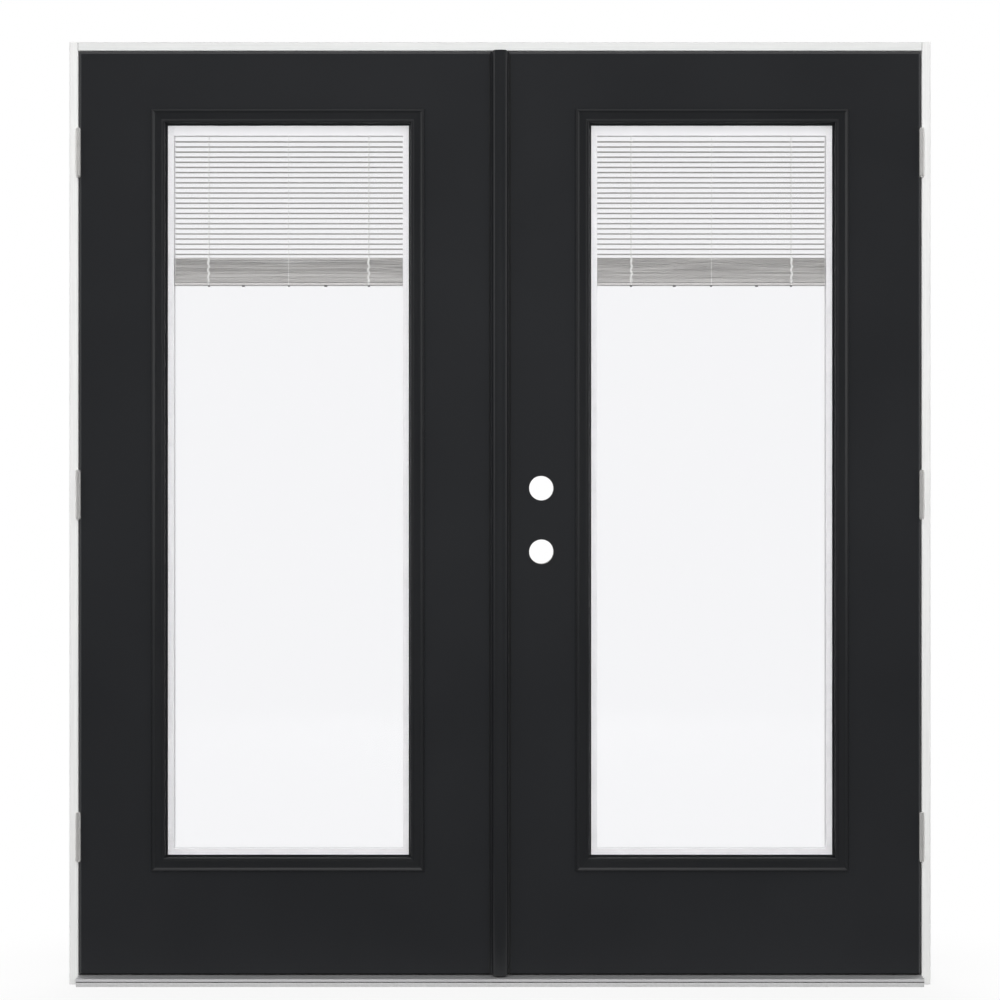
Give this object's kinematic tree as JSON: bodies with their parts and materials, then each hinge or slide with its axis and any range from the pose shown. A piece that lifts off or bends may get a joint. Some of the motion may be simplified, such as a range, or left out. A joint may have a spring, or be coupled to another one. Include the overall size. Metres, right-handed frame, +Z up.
{
  "type": "french doors",
  "caption": "Prehung black french doors with white blinds between the panes, in a white frame on an aluminium threshold, bored for a lock set",
  "frame": {"origin": "on the floor under the threshold, at mid width, in the plane of the frame's outdoor edge", "axes": "X along the wall to the right as seen from outdoors, Y from outdoors to indoors, Z up"},
  "size_m": [1.886, 0.14, 2.064],
  "materials": {
    "painted_pine": "white exterior paint",
    "mill_aluminium": "extruded, mill finish",
    "sill_composite": "extruded composite",
    "grey_rubber": "extruded bulb",
    "white_foam_seal": "foam in a film skin",
    "satin_nickel": "satin",
    "edge_timber": "dark paint on the leaf's edges",
    "foam_core": "cut foam",
    "black_skin": "baked satin enamel",
    "black_moulding": "moulded, satin",
    "black_extrusion": "powder coat",
    "clear_glass": "tempered, clear",
    "white_enamel": "coil-coated white",
    "slat_enamel": "coil-coated white",
    "white_cord": "braided",
    "black_rubber": "extruded",
    "white_plastic": "moulded"
  },
  "bodies": {
    "frame": {"left_jamb": "painted_pine", "right_jamb": "painted_pine", "head_jamb": "painted_pine", "threshold_tread": "mill_aluminium", "threshold_base": "sill_composite", "bumper_seal": "grey_rubber", "left_weatherstrip": "white_foam_seal", "right_weatherstrip": "white_foam_seal", "head_weatherstrip": "white_foam_seal", "left_hinge_frame_leaves": "satin_nickel", "right_hinge_frame_leaves": "satin_nickel", "left_hinge_pins": "satin_nickel", "right_hinge_pins": "satin_nickel"},
    "left_leaf": {"left_hinge_door_leaves": "satin_nickel", "left_hinge_stile": "edge_timber", "left_lock_stile": "edge_timber", "left_top_rail": "edge_timber", "left_bottom_rail": "edge_timber", "left_core": "foam_core", "left_outdoor_skin": "black_skin", "left_indoor_skin": "black_skin", "left_outdoor_lite_frame": "black_moulding", "left_indoor_lite_frame": "black_moulding", "left_outdoor_pane": "clear_glass", "left_indoor_pane": "clear_glass", "left_blind_cassette": "white_enamel", "left_blind_headrail": "white_enamel", "left_blind_slats": "slat_enamel", "left_blind_bottom_rail": "slat_enamel", "left_blind_cords": "white_cord", "left_door_sweep": "black_rubber", "astragal": "black_extrusion", "astragal_seal": "black_rubber"},
    "right_leaf": {"right_hinge_door_leaves": "satin_nickel", "right_hinge_stile": "edge_timber", "right_lock_stile": "edge_timber", "right_top_rail": "edge_timber", "right_bottom_rail": "edge_timber", "right_core": "foam_core", "right_outdoor_skin": "black_skin", "right_indoor_skin": "black_skin", "right_outdoor_lite_frame": "black_moulding", "right_indoor_lite_frame": "black_moulding", "right_outdoor_pane": "clear_glass", "right_indoor_pane": "clear_glass", "right_blind_cassette": "white_enamel", "right_blind_headrail": "white_enamel", "right_blind_slats": "slat_enamel", "right_blind_bottom_rail": "slat_enamel", "right_blind_cords": "white_cord", "right_door_sweep": "black_rubber", "right_lock_block": "edge_timber"},
    "upper_bolt": {"upper_flush_bolt": "satin_nickel"},
    "lower_bolt": {"lower_flush_bolt": "satin_nickel"},
    "left_lift": {"left_lift_slider": "white_plastic"},
    "left_tilt": {"left_tilt_slider": "white_plastic"},
    "right_lift": {"right_lift_slider": "white_plastic"},
    "right_tilt": {"right_tilt_slider": "white_plastic"}
  },
  "joints": [
    {"name": "left_leaf_swing", "type": "hinge", "parent": "frame", "child": "left_leaf", "pos_m": [-0.9225, -0.006, 1.0725], "axis": [0, 0, -1], "range_deg": [0, 110]},
    {"name": "right_leaf_swing", "type": "hinge", "parent": "frame", "child": "right_leaf", "pos_m": [0.9225, -0.006, 1.0725], "axis": [0, 0, 1], "range_deg": [0, 110]},
    {"name": "upper_bolt_slide", "type": "slide", "parent": "left_leaf", "child": "upper_bolt", "axis": [0, 0, 1], "range_m": [0, 0.016]},
    {"name": "lower_bolt_slide", "type": "slide", "parent": "left_leaf", "child": "lower_bolt", "axis": [0, 0, -1], "range_m": [0, 0.016]},
    {"name": "left_lift_slide", "type": "slide", "parent": "left_leaf", "child": "left_lift", "axis": [0, 0, 1], "range_m": [-0.245, 1.155]},
    {"name": "left_tilt_slide", "type": "slide", "parent": "left_leaf", "child": "left_tilt", "axis": [0, 0, 1], "range_m": [-0.06, 0.06]},
    {"name": "right_lift_slide", "type": "slide", "parent": "right_leaf", "child": "right_lift", "axis": [0, 0, 1], "range_m": [-0.245, 1.155]},
    {"name": "right_tilt_slide", "type": "slide", "parent": "right_leaf", "child": "right_tilt", "axis": [0, 0, 1], "range_m": [-0.06, 0.06]}
  ]
}
